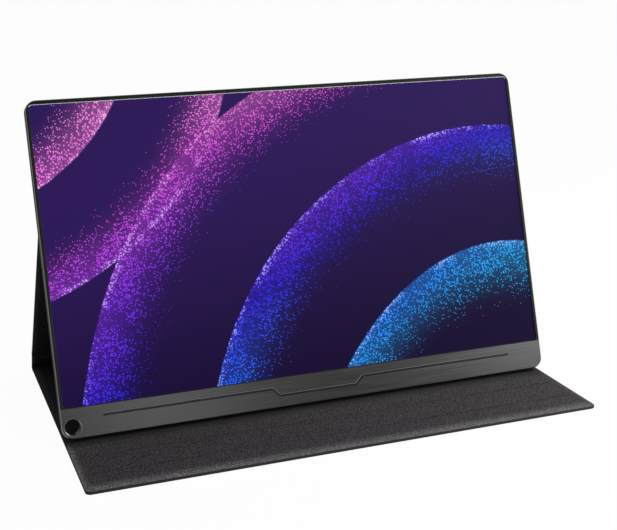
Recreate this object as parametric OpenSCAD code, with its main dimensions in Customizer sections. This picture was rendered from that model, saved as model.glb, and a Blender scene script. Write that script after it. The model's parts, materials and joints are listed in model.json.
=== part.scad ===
// Portable monitor on a folding magnetic leatherette cover, standing open as an easel.
// The cover is one long sheet: a base that lies on the table, a narrow spine, a stand panel
// that leans forward, and a back panel that holds the monitor's back by magnets.
// Inside the monitor: x runs across it, "depth" runs back from the front face and
// "height" runs up from its bottom edge. A cover panel is drawn lying flat, outer face down.

/* [Screen] */
// Width of the lit area of the display
screen_w = 344.2; // [320:0.1:360]
// Height of the lit area of the display
screen_h = 193.6; // [180:0.1:210]
// Gap between the lit area and the edge of the window
window_margin = 0.4; // [0.2:0.1:0.8]

/* [Monitor case] */
// Width of the frame beside the window
side_bezel = 2.5; // [2.3:0.1:6]
// Width of the frame above the window
top_bezel = 3; // [2.8:0.1:6]
// Height of the brushed chin below the window
chin_h = 20.1; // [20:0.1:30]
// Thickness of the monitor
monitor_t = 9; // [8.8:0.1:12]
// Radius of the monitor's four corners
corner_r = 7.3; // [7:0.1:10]
// Radius of the window's corners
window_r = 2.2; // [1:0.1:4]
// Thickness of the front frame
frame_t = 2; // [1.8:0.1:2.4]
// Thickness of the black surround that covers the display's border
lip_t = 0.8; // [0.6:0.1:1]
// Width of the metal edge left bare round the black surround
metal_edge = 1; // [0.9:0.1:1.4]
// Chamfer round the window in the black surround
window_chamfer = 0.3; // [0.1:0.1:0.5]
// How far the black surround reaches below the window
surround_foot = 0.6; // [0.5:0.1:1.5]
// Radius of the black surround's two lower corners
foot_r = 1.2; // [0.8:0.1:2]
// Bright chamfer round the front frame
frame_chamfer = 0.5; // [0.2:0.1:0.7]
// Thickness of the rear housing's side walls
wall_t = 1.4; // [1.2:0.1:1.6]
// Thickness of the rear housing's back wall
back_wall_t = 1; // [0.8:0.1:1.4]
// Rounding of the rear housing's back edge
back_edge_r = 2; // [1:0.1:2.6]
// Width of the engraved line on the chin
line_w = 2; // [1.4:0.1:2.2]
// Depth of the engraved line
line_d = 0.45; // [0.3:0.05:0.6]
// Height of the engraved line above the bottom edge
line_h = 12.9; // [12:0.1:15]
// Drop of the engraved line in the middle of the chin
line_drop = 5.1; // [4:0.1:7]
// Length of the dropped stretch
line_drop_w = 56; // [40:0.1:80]
// Distance from the side of the monitor to the end of the line
line_inset = 27.3; // [20:0.1:40]

/* [Pen hole] */
// Inner radius of the bush that holds a pen as a prop
pen_r = 4.9; // [4:0.1:5.2]
// Wall of the bush
bush_wall = 0.8; // [0.6:0.1:1]
// Chamfer in the bush's front mouth
bush_chamfer = 0.7; // [0.3:0.1:0.7]
// Distance from the pen hole's centre to the side and the bottom edge
pen_inset = 7.3; // [7.1:0.1:9]

/* [Display module] */
// Gap between the display module and the housing walls
module_gap = 0.6; // [0.5:0.1:0.8]
// Radius of the display module's corners
module_r = 4.3; // [4.2:0.1:4.5]
// Height of the module's border hidden below the window
module_tail = 6.2; // [6:0.1:6.3]
// Thickness of the liquid crystal cell
cell_t = 1.2; // [1:0.1:1.4]
// Thickness of the stacked optical films
film_t = 0.5; // [0.3:0.1:0.6]
// Thickness of the light guide
guide_t = 0.9; // [0.7:0.1:1]
// Thickness of the reflector sheet
reflector_t = 0.2; // [0.1:0.05:0.25]
// Thickness of the module's steel back plate
plate_t = 0.3; // [0.2:0.05:0.4]
// Wall of the module's plastic frame
panel_frame_w = 0.8; // [0.7:0.1:0.9]
// Height of the strip of light-emitting diodes
led_h = 3; // [2.6:0.1:3.4]
// Number of light-emitting diodes
led_count = 32; // [16:1:40]

/* [Electronics] */
// Thickness of the circuit boards
board_t = 0.8; // [0.6:0.1:1]
// Depth of the boards' front face behind the monitor's face
board_depth = 5.2; // [5.1:0.05:5.3]
// Width of the main board
main_w = 92; // [80:1:110]
// Height of the main board
main_h = 78; // [74:1:90]
// Height of the main board's lower edge
main_z = 34; // [32:1:40]
// Radius of the headphone socket's bore
jack_r = 1.8; // [1.75:0.05:1.9]
// Depth of the headphone socket's bore
jack_len = 13; // [12:0.5:14]
// Length of a loudspeaker
speaker_w = 42; // [30:1:50]
// Distance from the monitor's side to a loudspeaker's centre
speaker_inset = 63; // [55:1:75]

/* [Controls] */
// Travel of a push button
press = 0.4; // [0.3:0.05:0.5]
// Length of a push button along the monitor's side
button_h = 8; // [6:0.5:9]
// Width of a push button across the monitor's side
button_w = 2.6; // [2.2:0.1:3]
// Distance between neighbouring controls
control_pitch = 15; // [14:0.5:18]
// Radius of the jog wheel
jog_r = 4.6; // [4.4:0.1:5]
// Thickness of the jog wheel
jog_t = 2.4; // [2:0.1:2.6]
// How far the controls stand proud of the side
proud = 0.7; // [0.5:0.1:0.9]

/* [Cover] */
// How far the cover stays inside each side of the monitor
cover_inset = 1.3; // [0.2:0.1:2]
// Thickness of the outer leatherette
skin_t = 0.7; // [0.5:0.1:0.9]
// Thickness of the stiffening board
stiff_t = 1.4; // [1.2:0.1:1.8]
// Thickness of the lining
lining_t = 0.7; // [0.5:0.1:0.9]
// Width of the skin's turned edge round the board
rim_w = 1.2; // [0.8:0.1:2]
// How far the lining stays inside the cover's edge
lining_inset = 0.8; // [0.4:0.1:1.6]
// Radius of the base's front corners
cover_r = 3.5; // [2:0.5:8]
// Radius of the corners beside a fold
fold_corner_r = 1.2; // [0.8:0.1:2]
// Length of the spine between its two folds
spine_len = 15.8; // [15:0.1:18]
// Depth of the flap in front of the monitor
flap_d = 71.2; // [60:0.1:90]
// Height of the back fold above the monitor's bottom edge
fold_up = 136.5; // [130:0.5:150]
// Spare length of the stand panel below the monitor
stand_spare = 12.8; // [10:0.1:16]
// How far the back panel stays below the monitor's top edge
back_inset = 1; // [0:0.5:4]
// Gap in the boards beside the rear fold
rear_fold_gap = 4.5; // [4:0.1:6]
// Gap in the boards beside the spine fold
spine_fold_gap = 2; // [1.5:0.1:3]
// Gap in the boards beside the back fold
back_fold_gap = 2.5; // [2:0.1:4]
// Distance from the front edge to the first crease of the lining
crease_first = 22.7; // [18:0.1:30]
// Distance between the creases that catch the monitor's edge
crease_pitch = 25.2; // [20:0.1:28]
// Width of a crease
crease_w = 1.2; // [0.8:0.1:2]
// Depth of a crease
crease_d = 0.3; // [0.1:0.05:0.4]
// Distance from the cover's side to the end of a crease
crease_end = 30; // [20:1:40]

/* [Standing] */
// Angle by which the monitor leans back
lean = 17.5; // [12:0.5:24]
// Angle between the spine and the stand panel
spine_bend = 12; // [8:0.5:16]
// Gap between the monitor's bottom edge and the lining
seat_gap = 0.25; // [0.15:0.05:0.4]
// Gap between the monitor's back and the cover
back_gap = 0.25; // [0.15:0.05:0.4]

/* [Magnets and screws] */
// Length of a magnet
magnet_w = 30; // [20:1:34]
// Height of a magnet
magnet_h = 6; // [5:0.5:8]
// Thickness of a magnet
magnet_t = 1; // [0.8:0.1:1.1]
// Distance between neighbouring magnets along the monitor's bottom edge
magnet_pitch = 36; // [35:1:40]
// Distance between neighbouring magnets in the monitor's back
back_magnet_pitch = 80; // [60:1:84]
// Radius of a screw's shank
screw_r = 0.75; // [0.6:0.05:0.8]
// Radius of a screw's head
head_r = 1.8; // [1.5:0.1:1.9]
// Radial clearance round a screw
screw_gap = 0.05; // [0.03:0.01:0.1]
// Distance from the monitor's side to the outermost case screw
case_screw_inset = 31; // [27:1:45]

/* [Hidden] */
$fn = 48;
eps = 0.01;
window_w = screen_w + 2 * window_margin;
window_h = screen_h + 2 * window_margin;
monitor_w = window_w + 2 * side_bezel;
monitor_h = chin_h + window_h + top_bezel;
inner_w = monitor_w - 2 * wall_t;
inner_back = monitor_t - back_wall_t;
fit_gap = 0.05;
pen_x = -monitor_w / 2 + pen_inset;
line_floor_w = 0.3;
case_screw_pitch = (monitor_w / 2 - case_screw_inset) / 2;
speaker_x = monitor_w / 2 - speaker_inset;
bush_r = pen_r + bush_wall;
bush_boss = 0.6;

module_w = inner_w - 2 * module_gap;
module_top = monitor_h - wall_t - module_gap;
module_bottom = chin_h - module_tail;
module_h = module_top - module_bottom;
cell_depth = lip_t + fit_gap;
film_depth = cell_depth + cell_t;
guide_depth = film_depth + film_t;
reflector_depth = guide_depth + guide_t;
plate_depth = reflector_depth + reflector_t + fit_gap;
module_back = plate_depth + plate_t;
light_inset = panel_frame_w + 0.1;
light_w = module_w - 2 * light_inset;
light_bottom = module_bottom + light_inset + led_h + 0.2;
light_h = module_top - light_inset - light_bottom;

board_back = board_depth + board_t;
main_right = inner_w / 2 - 0.6;
main_x = main_right - main_w / 2;
jack_body_r = jack_r + 0.15;
port_depth = module_back + jack_body_r + fit_gap;
port_right = monitor_w / 2 - 0.4;
usb_w = 8.9;
usb_t = 3;
usb_len = 8;
hdmi_w = 11.6;
hdmi_t = 3;
hdmi_len = 9;
shell_t = 0.25;
tongue_t = 0.7;
hdmi_z = main_z + 9;
usb_rise = [26, 42];
usb_z = [for (rise = usb_rise) main_z + rise];
jack_rise = 58;
jack_z = main_z + jack_rise;
shield_inset = 12;
shield_rise = 26;
jack_w = 6;
jack_nose_r = jack_r + 0.4;
board_hole_r = 1.1;
boss_r = 2.4;
board_screws = [for (x = [main_x - main_w / 2 + 5, main_x + main_w / 2 - 20], z = [main_z + 5, main_z + main_h - 5]) [x, z]];
tcon_w = 150;
tcon_h = 13;
tcon_z = module_bottom + 2;

control_z = main_z + main_h + 8;
power_z = control_z;
jog_z = control_z + control_pitch;
back_z = control_z + 2 * control_pitch;
control_depth = (frame_t + monitor_t) / 2 + 0.7;
key_depth = module_back + 0.15;
key_t = board_t - 0.2;
control_gap = 0.15;
flange_t = 0.6;
flange_over = 0.7;
switch_w = 3;
button_in = monitor_w / 2 - wall_t - flange_t - control_gap - press - 1.1;
jog_x = monitor_w / 2 + proud - jog_r;
jog_pin_r = 1;
jog_running = 0.06;
keys_w = 11;
keys_right = button_in - press - 0.1;

speaker_h = module_bottom - wall_t - 2.2;
speaker_z = wall_t + 0.8;
speaker_t = inner_back - frame_t - 1;
lead_r = 0.5;
lead_depth = inner_back - lead_r - 0.2;

cover_w = monitor_w - 2 * cover_inset;
cover_t = skin_t + stiff_t + lining_t;
fold_t = skin_t + lining_t;
fold_axis = fold_t / 2;
stand_len = fold_up + stand_spare;
back_len = monitor_h - fold_up - back_inset;
back_off = monitor_t + back_gap + cover_t - fold_axis;
edge_z = cover_t + seat_gap + (monitor_t - back_edge_r) * sin(lean) + back_edge_r * (1 - cos(lean));
chord = sqrt(pow(stand_len, 2) + pow(spine_len, 2) + 2 * stand_len * spine_len * cos(spine_bend));
back_fold_z = edge_z + fold_up * cos(lean) - back_off * sin(lean);
back_fold_run = fold_up * sin(lean) + back_off * cos(lean);
rear_run = back_fold_run + sqrt(pow(chord, 2) - pow(back_fold_z - fold_axis, 2));
base_len = flap_d + rear_run;
front_y = -(base_len + fold_axis) / 2;
edge_y = front_y + flap_d;
rear_fold = [0, front_y + base_len, fold_axis];
back_fold = [0, edge_y + back_fold_run, back_fold_z];
chord_angle = atan2(back_fold[2] - rear_fold[2], back_fold[1] - rear_fold[1]);
spine_angle = chord_angle - asin(stand_len * sin(spine_bend) / chord);
stand_angle = spine_angle + spine_bend;
spine_fold = rear_fold + spine_len * [0, cos(spine_angle), sin(spine_angle)];

magnet_rows = [for (i = [0:2]) -base_len + crease_first + i * crease_pitch];
magnet_places = [for (i = [-1.5:1.5]) i * magnet_pitch];
back_magnet_places = [for (i = [-1.5:1.5]) i * back_magnet_pitch];
back_magnet_rows = [back_len * 0.35, back_len * 0.75];
pocket_gap = 0.2;

// The monitor's own directions, stood up on its bottom edge and leant back.
module in_monitor() {
    translate([0, edge_y, edge_z]) rotate([-lean, 0, 0]) children();
}

// A flat shape across the monitor, as thick as t, with its front face at a depth.
module slab(depth, t) {
    translate([0, depth + t, 0]) rotate([90, 0, 0]) linear_extrude(t) children();
}

// A round bar that runs back through the monitor.
module bar(x, depth, z, h, r) {
    translate([x, depth, z]) rotate([-90, 0, 0]) cylinder(h = h, r = r);
}

module block(x, depth, z, w, t, h) {
    translate([x - w / 2, depth, z]) cube([w, t, h]);
}

module rounded_2d(w, h, r) {
    translate([-w / 2 + r, 0]) square([w - 2 * r, h]);
    translate([-w / 2, r]) square([w, h - 2 * r]);
    for (x = [-1, 1], y = [r, h - r]) translate([x * (w / 2 - r), y]) circle(r);
}

// A slot with round ends, standing up, centred on the origin.
module slot_2d(w, h) {
    translate([-w / 2, -h / 2 + w / 2]) square([w, h - w]);
    for (s = [-1, 1]) translate([0, s * (h - w) / 2]) circle(w / 2);
}

module outline_2d(inset = 0) {
    translate([0, inset]) rounded_2d(monitor_w - 2 * inset, monitor_h - 2 * inset, corner_r - inset);
}

module window_2d(grow = 0) {
    translate([0, chin_h - grow]) rounded_2d(window_w + 2 * grow, window_h + 2 * grow, window_r + grow);
}

// Outline of the display module, or of what lies a distance inside it.
module module_2d(inset = 0) {
    translate([0, module_bottom + inset])
        rounded_2d(module_w - 2 * inset, module_h - 2 * inset, max(module_r - inset, 0.5));
}

// Outline of the black surround, or of what lies a distance inside it. Its lower corners are tight.
module surround_2d(inset = 0) {
    w = monitor_w - 2 * (metal_edge + inset);
    h = monitor_h - metal_edge - chin_h + surround_foot - 2 * inset;
    translate([0, chin_h - surround_foot + inset]) {
        translate([0, h / 4]) rounded_2d(w, h * 3 / 4, corner_r - metal_edge - inset);
        rounded_2d(w, h / 2, foot_r - inset);
    }
}

// Cuts or fills through the right-hand side wall, drawn as seen from that side.
module through_side(x, len, depth, z) {
    translate([x, depth, z]) rotate([90, 0, 90]) linear_extrude(len) children();
}

// Places a flat panel so that its fold runs along a hinge line, turned up by an angle.
module from_fold(place, angle) {
    translate(place) rotate([angle, 0, 0]) translate([0, 0, -fold_axis]) children();
}

// A cover panel's outline from y0 to y1, with one corner radius at each end.
module panel_2d(y0, y1, r0, r1, inset = 0) {
    w = cover_w - 2 * inset;
    a = y0 + inset;
    b = y1 - inset;
    s = max(r0 - inset, 0.3);
    e = max(r1 - inset, 0.3);
    translate([-w / 2, a + s]) square([w, b - a - s - e]);
    translate([-w / 2 + s, a]) square([w - 2 * s, s]);
    translate([-w / 2 + e, b - e]) square([w - 2 * e, e]);
    for (x = [-1, 1]) {
        translate([x * (w / 2 - s), a + s]) circle(s);
        translate([x * (w / 2 - e), b - e]) circle(e);
    }
}

// Outer leatherette of a panel with its edge turned up round the board.
module panel_skin(y0, y1, r0, r1) {
    color("#2b2b2d") {
        linear_extrude(skin_t) panel_2d(y0, y1, r0, r1);
        translate([0, 0, skin_t - eps]) linear_extrude(stiff_t + eps) difference() {
            panel_2d(y0, y1, r0, r1);
            panel_2d(y0, y1, r0, r1, rim_w);
        }
    }
}

module panel_board(y0, y1, r0, r1) {
    color("#6f6a60") translate([0, 0, skin_t]) linear_extrude(stiff_t)
        panel_2d(y0, y1, r0, r1, rim_w + fit_gap);
}

module panel_lining(y0, y1, r0, r1) {
    color("#39393b") translate([0, 0, skin_t + stiff_t]) linear_extrude(lining_t)
        panel_2d(y0, y1, r0, r1, lining_inset);
}

// A row of magnets lying in the board's pockets.
module magnet_bars(places, rows, spare = 0) {
    for (x = places, y = rows)
        translate([x - magnet_w / 2 - spare, y - magnet_h / 2 - spare, skin_t + (stiff_t - magnet_t) / 2 - (spare > 0 ? stiff_t : 0)])
            cube([magnet_w + 2 * spare, magnet_h + 2 * spare, magnet_t + (spare > 0 ? 2 * stiff_t : 0)]);
}

// Leather that bends round one fold: two short leaves, rounded on one side and creased on the other.
module fold_leaves(place, a, b, gap_a, gap_b) {
    steps = 8;
    ta = [cos(a), sin(a)];
    tb = [cos(b), sin(b)];
    side = b > a ? fold_axis : -fold_axis;
    na = side * [-sin(a), cos(a)];
    nb = side * [-sin(b), cos(b)];
    crease = (na + nb) / (1 + cos(b - a));
    color("#2b2b2d") translate(place - [cover_w / 2, 0, 0]) rotate([90, 0, 90]) linear_extrude(cover_w) polygon(concat(
        [(eps - gap_a) * ta - na],
        [for (i = [0:steps]) let (t = a + (b - a) * i / steps) side * [sin(t), -cos(t)]],
        [(gap_b - eps) * tb - nb, (gap_b - eps) * tb + nb, crease, (eps - gap_a) * ta + na]
    ));
}

// The unit vector square to a stretch of a path, on its left, and the one that mitres a path's corner.
function across(a, b) = [a[1] - b[1], b[0] - a[0]] / norm(b - a);
function mitre(path, i) =
    let (before = across(path[max(i - 1, 0)], path[max(i, 1)]),
         after = across(path[min(i, len(path) - 2)], path[min(i + 1, len(path) - 1)]))
    (before + after) / (1 + before * after);

// The chin's engraved line: a groove with sloping sides, mitred where it drops in the middle.
module engraved_line() {
    half = monitor_w / 2 - line_inset;
    drop = line_drop_w / 2;
    low = line_h - line_drop;
    path = [[-half, line_h], [-drop - line_drop, line_h], [-drop, low], [drop, low], [drop + line_drop, line_h], [half, line_h]];
    last = len(path) - 1;
    section = [[line_w / 2, -eps], [-line_w / 2, -eps], [-line_floor_w / 2, line_d], [line_floor_w / 2, line_d]];
    points = [for (i = [0:last], s = section)
        let (m = mitre(path, i)) [path[i][0] + s[0] * m[0], s[1], path[i][1] + s[0] * m[1]]];
    sides = [for (i = [0:last - 1], k = [0:3])
        [4 * i + k, 4 * i + 4 + k, 4 * i + 4 + (k + 1) % 4, 4 * i + (k + 1) % 4]];
    polyhedron(points, concat([[0, 1, 2, 3]], sides, [[for (k = [3:-1:0]) 4 * last + k]]));
}

module front_frame() {
    color("#4a4a4b") difference() {
        union() {
            hull() {
                slab(0, eps) outline_2d(frame_chamfer, $fn = 32);
                slab(frame_chamfer, frame_t - frame_chamfer) outline_2d($fn = 32);
            }
            for (i = [-2:2]) bar(i * case_screw_pitch, frame_t - eps, pen_inset, inner_back - frame_t - fit_gap + eps, boss_r);
        }
        slab(-1, lip_t + 1) surround_2d();
        slab(lip_t - eps, frame_t) module_2d(-pocket_gap);
        engraved_line();
        bar(pen_x, -1, pen_inset, frame_t + 2, bush_r + fit_gap);
        for (i = [-2:2]) bar(i * case_screw_pitch, frame_t + 0.6, pen_inset, monitor_t, screw_r + screw_gap);
    }
}

// Black plastic surround, let into the metal frame and glued over the display's border.
module display_surround() {
    color("#262622") difference() {
        slab(0.05, lip_t - 0.1) surround_2d(fit_gap);
        slab(-1, lip_t + 2) window_2d();
        hull() {
            slab(0.05 - eps, eps) window_2d(window_chamfer);
            slab(0.05 + window_chamfer, eps) window_2d();
        }
    }
}

// The housing's outside, with its back edge rounded in steps.
module housing_body() {
    steps = 3;
    hull() {
        slab(frame_t + fit_gap, monitor_t - back_edge_r - frame_t - fit_gap) outline_2d($fn = 32);
        for (i = [1:steps])
            let (a = 90 * i / steps)
                slab(monitor_t - back_edge_r * (1 - sin(a)) - 0.1, 0.1)
                    outline_2d(back_edge_r * (1 - cos(a)), $fn = 32);
    }
}

module side_cuts() {
    x = inner_w / 2 - 1;
    for (z = usb_z) through_side(x, 4, port_depth, z) slot_2d(usb_t + 0.4, usb_w + 0.4);
    through_side(x, 4, port_depth, hdmi_z) translate([-hdmi_t / 2 - 0.2, -hdmi_w / 2 - 0.2])
        square([hdmi_t + 0.4, hdmi_w + 0.4]);
    translate([x, port_depth, jack_z]) rotate([0, 90, 0]) cylinder(h = 4, r = jack_nose_r + 0.1);
    for (z = [power_z, back_z]) through_side(x, 4, control_depth, z)
        slot_2d(button_w + 2 * control_gap, button_h + 2 * control_gap);
    through_side(x, 4, control_depth, jog_z) translate([-jog_t / 2 - control_gap, -jog_r])
        square([jog_t + 2 * control_gap, 2 * jog_r]);
}

module speaker_grille() {
    for (s = [-1, 1], i = [-6:6])
        translate([s * speaker_x + i * 2.6 - 0.6, frame_t + 2, -1]) cube([1.2, 3, wall_t + 2]);
}

module rear_housing() {
    color("#29292b") difference() {
        union() {
            difference() {
                housing_body();
                slab(frame_t - 1, inner_back - frame_t + 1) outline_2d(wall_t);
            }
            for (p = board_screws) bar(p[0], board_back + fit_gap, p[1], inner_back - board_back - fit_gap + eps, boss_r);
            bar(pen_x, frame_t + fit_gap, pen_inset, inner_back - frame_t, bush_r + bush_boss);
        }
        side_cuts();
        speaker_grille();
        bar(pen_x, 0, pen_inset, monitor_t + 1, bush_r + fit_gap);
        for (i = [-2:2]) translate([i * case_screw_pitch, inner_back - eps, pen_inset]) rotate([-90, 0, 0])
            cylinder(h = back_wall_t + 2 * eps, r1 = screw_r + screw_gap, r2 = head_r + screw_gap);
        for (p = board_screws) bar(p[0], board_depth, p[1], inner_back - board_depth - 0.3, screw_r + screw_gap);
    }
}

// Bright metal bush that lines the pen hole right through the monitor.
module pen_hole_bush() {
    color("#8c8c90") translate([pen_x, 0, pen_inset]) rotate([-90, 0, 0]) difference() {
        cylinder(h = monitor_t, r = bush_r);
        translate([0, 0, -1]) cylinder(h = monitor_t + 2, r = pen_r);
        translate([0, 0, -eps]) cylinder(h = bush_chamfer + eps, r1 = pen_r + bush_chamfer, r2 = pen_r);
    }
}

// A sheet of the backlight, above the strip of light-emitting diodes.
module light_sheet(depth, t) {
    slab(depth, t) translate([0, light_bottom]) rounded_2d(light_w, light_h, module_r - panel_frame_w);
}

module lcd_cell() {
    color("#20104a") slab(cell_depth, cell_t) module_2d();
}

module optical_films() {
    color("#e8ecee") light_sheet(film_depth, film_t - fit_gap);
}

module light_guide() {
    color("#cfe4e8") light_sheet(guide_depth, guide_t - fit_gap);
}

module reflector_sheet() {
    color("#f4f4f4") light_sheet(reflector_depth, reflector_t);
}

module panel_frame() {
    color("#dcdcd8") slab(film_depth + fit_gap, plate_depth - film_depth - 2 * fit_gap) difference() {
        module_2d();
        module_2d(panel_frame_w);
    }
}

module panel_back_plate() {
    color("#b9bcc0") slab(plate_depth, plate_t) module_2d();
}

module led_bar() {
    pitch = light_w / led_count;
    z = module_bottom + light_inset;
    color("#f2efdc") {
        block(0, reflector_depth, z, light_w - 2 * module_r, reflector_t, led_h);
        for (i = [0:led_count - 1])
            block((i + 0.5) * pitch - light_w / 2, guide_depth, z + 0.4, 3.6, guide_t + eps, led_h - 0.6);
    }
}

module tcon_board() {
    color("#1f5a3a") {
        block(0, board_depth, tcon_z, tcon_w, board_t, tcon_h);
        for (i = [-2:2]) block(i * 26, module_back + 0.3, tcon_z + 3, 9, board_depth - module_back - 0.3 + eps, 6);
        block(20, board_back - eps, tcon_z + 2, 12, 0.9 + eps, 4);
    }
}

module main_board() {
    color("#1c4f34") difference() {
        block(main_x, board_depth, main_z, main_w, board_t, main_h);
        for (p = board_screws) bar(p[0], board_depth - 1, p[1], board_t + 2, board_hole_r);
        for (z = usb_z) block(port_right - usb_len / 2, board_depth - 1, z - usb_w / 2 - 0.2, usb_len + 0.4, 3, usb_w + 0.4);
        block(port_right - hdmi_len / 2, board_depth - 1, hdmi_z - hdmi_w / 2 - 0.2, hdmi_len + 0.4, 3, hdmi_w + 0.4);
        block(main_right - jack_len / 2, board_depth - 1, jack_z - jack_w / 2 - 0.2, jack_len + 1.6, 3, jack_w + 0.4);
    }
}

// Display controller, power and memory chips on the board's front face.
module board_chips() {
    chips = [[-22, 36, 14, 14], [-2, 38, 10, 9], [-26, 16, 7, 7], [-6, 18, 8, 5], [10, 24, 5, 5], [8, 52, 6, 8], [-30, 60, 9, 6]];
    h = board_depth - module_back - 0.25;
    color("#26282b") for (c = chips)
        block(main_x + c[0], board_depth - h, main_z + c[1], c[2], h, c[3]);
}

module shield_can() {
    w = 40;
    h = 34;
    t = 1.3;
    color("#c4c7ca") translate([main_x - shield_inset - w / 2, board_back, main_z + shield_rise]) difference() {
        cube([w, t, h]);
        translate([0.25, -1, 0.25]) cube([w - 0.5, t + 0.75, h - 0.5]);
    }
}

module usb_c_socket(z) {
    color("#aeb2b6") translate([port_right - usb_len, port_depth, z]) rotate([90, 0, 90]) difference() {
        linear_extrude(usb_len) slot_2d(usb_t, usb_w, $fn = 16);
        translate([0, 0, 0.8]) linear_extrude(usb_len) slot_2d(usb_t - 2 * shell_t, usb_w - 2 * shell_t, $fn = 16);
    }
    color("#1a1a1c") translate([port_right - usb_len + 0.7, port_depth - tongue_t / 2, z - 3.2])
        cube([usb_len - 1.6, tongue_t, 6.4]);
}

module hdmi_socket() {
    color("#aeb2b6") translate([port_right - hdmi_len, port_depth - hdmi_t / 2, hdmi_z - hdmi_w / 2]) difference() {
        cube([hdmi_len, hdmi_t, hdmi_w]);
        translate([0.8, shell_t, shell_t]) cube([hdmi_len, hdmi_t - 2 * shell_t, hdmi_w - 2 * shell_t]);
    }
    color("#1a1a1c") translate([port_right - hdmi_len + 0.7, port_depth - tongue_t / 2, hdmi_z - 4])
        cube([hdmi_len - 2, tongue_t, 8]);
}

module headphone_socket() {
    mouth = monitor_w / 2 - 0.5;
    nose = module_w / 2 + fit_gap;
    color("#1b1b1d") difference() {
        union() {
            translate([main_right - jack_len - 0.6, port_depth - jack_body_r, jack_z - jack_w / 2])
                cube([nose - main_right + jack_len + 0.65, 2 * jack_body_r, jack_w]);
            translate([nose, port_depth, jack_z]) rotate([0, 90, 0])
                cylinder(h = mouth - nose, r = jack_nose_r);
        }
        translate([mouth - jack_len, port_depth, jack_z]) rotate([0, 90, 0])
            cylinder(h = jack_len + 1, r = jack_r);
    }
}

// Flat cable from the main board's plug down to the timing board.
module display_cable() {
    low = tcon_z + 6.2;
    color("#3a3c40") slab(board_back + 0.3, 0.3) polygon([
        [15, low], [25, low], [25, main_z + 8], [main_x - main_w / 2 + 8, main_z + 8],
        [main_x - main_w / 2 + 8, main_z + 18], [15, main_z + 18]
    ]);
}

module speaker(side) {
    x = side * speaker_x;
    color("#1d1d1f") difference() {
        block(x, frame_t + 0.4, speaker_z, speaker_w, speaker_t, speaker_h);
        for (s = [-1, 1]) bar(x + s * speaker_w / 4, frame_t - 1, speaker_z + speaker_h / 2, 2.2, speaker_h / 3);
    }
    color("#55565a") for (s = [-1, 1])
        bar(x + s * speaker_w / 4, frame_t + 0.6, speaker_z + speaker_h / 2, 0.7, speaker_h / 3 + eps);
}

// A thin lead along straight stretches with round turns.
module lead(points) {
    for (i = [0:len(points) - 2]) {
        a = points[i];
        b = points[i + 1];
        v = b - a;
        l = norm(v);
        translate(a) rotate([0, acos(v[2] / l), atan2(v[1], v[0])]) cylinder(h = l, r = lead_r);
        translate(b) sphere(lead_r);
    }
}

module speaker_leads() {
    top = speaker_z + speaker_h;
    color("#7a2020") {
        lead([[-speaker_x + 15, lead_depth, top], [-speaker_x + 15, lead_depth, tcon_z + tcon_h + 3],
            [main_x - main_w / 2 + 12, lead_depth, tcon_z + tcon_h + 3], [main_x - main_w / 2 + 12, lead_depth, main_z + 4]]);
        lead([[speaker_x - 8, lead_depth, top], [speaker_x - 8, lead_depth, main_z + 4]]);
    }
}

// Small board with the three switches, and the plate that carries the jog wheel's pin.
module key_board() {
    h = 2 * control_pitch + 12;
    color("#1c4f34") block(keys_right - keys_w / 2, key_depth, control_z - 6, keys_w, key_t, h);
    color("#3c3f43") {
        for (z = [power_z, back_z])
            block(keys_right - switch_w / 2, key_depth + key_t - eps, z - 2, switch_w, 2.2, 4);
        block(jog_x - jog_r - switch_w / 2 - 0.2, key_depth + key_t - eps, jog_z - 2, switch_w, 2.2, 4);
    }
}

// A push button: the cap outside the wall, the flange that keeps it in, and the stem behind.
module push_button(z) {
    color("#17171a") {
        through_side(monitor_w / 2 - wall_t - flange_t, wall_t + flange_t + proud, control_depth, z)
            slot_2d(button_w, button_h);
        through_side(monitor_w / 2 - wall_t - flange_t - control_gap, flange_t, control_depth, z)
            slot_2d(button_w + flange_over, button_h + flange_over);
        translate([button_in, control_depth - 0.8, z - 1.2]) cube([1.4 + press, 1.6, 2.4]);
    }
}

module jog_wheel() {
    grips = 36;
    color("#17171a") translate([jog_x, control_depth - jog_t / 2, jog_z]) rotate([-90, 0, 0]) difference() {
        cylinder(h = jog_t, r = jog_r);
        translate([0, 0, -1]) cylinder(h = jog_t + 2, r = jog_pin_r + jog_running);
        for (i = [0:grips - 1]) rotate(i * 360 / grips) translate([jog_r, 0, -1])
            cylinder(h = jog_t + 2, r = 0.2, $fn = 16);
    }
}

// The pin that the jog wheel turns on, standing on the back wall.
module jog_pin() {
    low = control_depth - jog_t / 2 - 0.1;
    color("#9a9da1") {
        bar(jog_x, low, jog_z, inner_back - low - fit_gap, jog_pin_r);
        bar(jog_x, control_depth + jog_t / 2 + 0.1, jog_z, inner_back - control_depth - jog_t / 2 - 0.1 - fit_gap, jog_pin_r + 0.8);
    }
}

module case_screws() {
    color("#303033") for (i = [-2:2]) translate([i * case_screw_pitch, 0, pen_inset]) {
        bar(0, frame_t + 0.9, 0, inner_back - frame_t - 0.9 + eps, screw_r);
        translate([0, inner_back, 0]) rotate([-90, 0, 0]) difference() {
            cylinder(h = back_wall_t - 0.05, r1 = screw_r, r2 = head_r - 0.05);
            for (a = [0, 90]) rotate(a) translate([-1, -0.2, back_wall_t - 0.45]) cube([2, 0.4, 1]);
        }
    }
}

module board_screws() {
    color("#c9c9cc") for (p = board_screws) {
        bar(p[0], board_depth - 0.7, p[1], 0.7, head_r);
        bar(p[0], board_depth - eps, p[1], inner_back - board_depth - 0.5, screw_r);
    }
}

// Magnets along the monitor's bottom edge, which hold it on the base.
module edge_magnets() {
    color("#9b9ea2") for (i = [-1.5:1.5])
        block(i * magnet_pitch, inner_back - 3.2, wall_t + fit_gap, magnet_w, 3, 1.8);
}

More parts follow.
